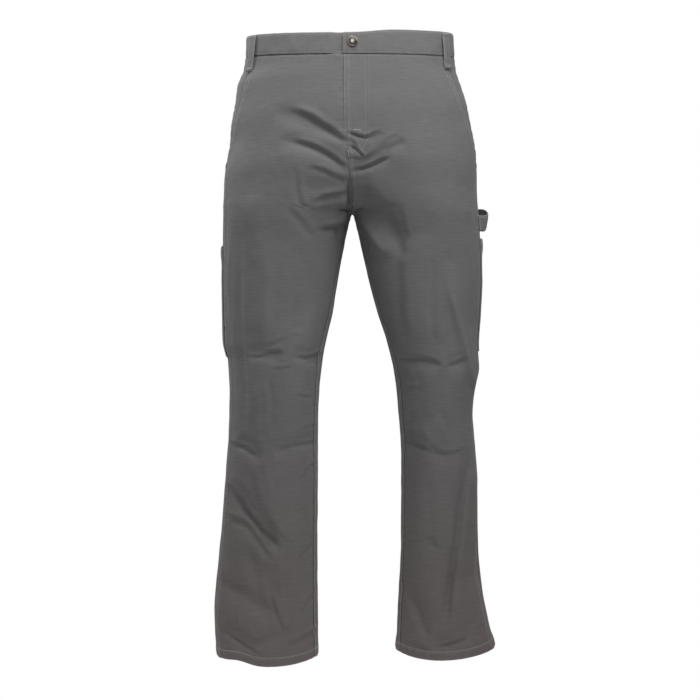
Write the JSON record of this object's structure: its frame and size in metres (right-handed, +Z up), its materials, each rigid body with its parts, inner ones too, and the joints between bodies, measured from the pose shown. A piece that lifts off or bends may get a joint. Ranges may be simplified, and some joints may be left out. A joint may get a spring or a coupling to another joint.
{
  "type": "carpenter pants",
  "caption": "Straight-leg cotton duck carpenter pants, filled out as worn and open at waist and hems, with slant pockets, tool pockets and a hammer loop.",
  "frame": {"origin": "centre of the waist, where the wearer holds the pants up", "axes": "+Z up, -Y the front, +X the wearer's left"},
  "size_m": [0.5058, 0.2624, 1.1317],
  "materials": {
    "duck_canvas": "matt plain-weave cotton duck, slightly worn",
    "duck_trim": "matt plain-weave cotton duck, folded and topstitched",
    "antique_metal": "dark antiqued plating, satin"
  },
  "bodies": {
    "root": {"front_left": "duck_canvas", "front_right": "duck_canvas", "back_left": "duck_canvas", "back_right": "duck_canvas", "yoke_left": "duck_canvas", "yoke_right": "duck_canvas", "hip_facing_left": "duck_canvas", "hip_facing_right": "duck_canvas", "back_pocket_left": "duck_trim", "back_pocket_right": "duck_trim", "tool_pocket_left": "duck_trim", "tool_pocket_right": "duck_trim", "waistband": "duck_trim", "belt_loop_front_left": "duck_trim", "belt_loop_back_left": "duck_trim", "belt_loop_back_centre": "duck_trim", "belt_loop_back_right": "duck_trim", "belt_loop_front_right": "duck_trim", "hammer_loop": "duck_trim", "button": "antique_metal"}
  },
  "joints": []
}
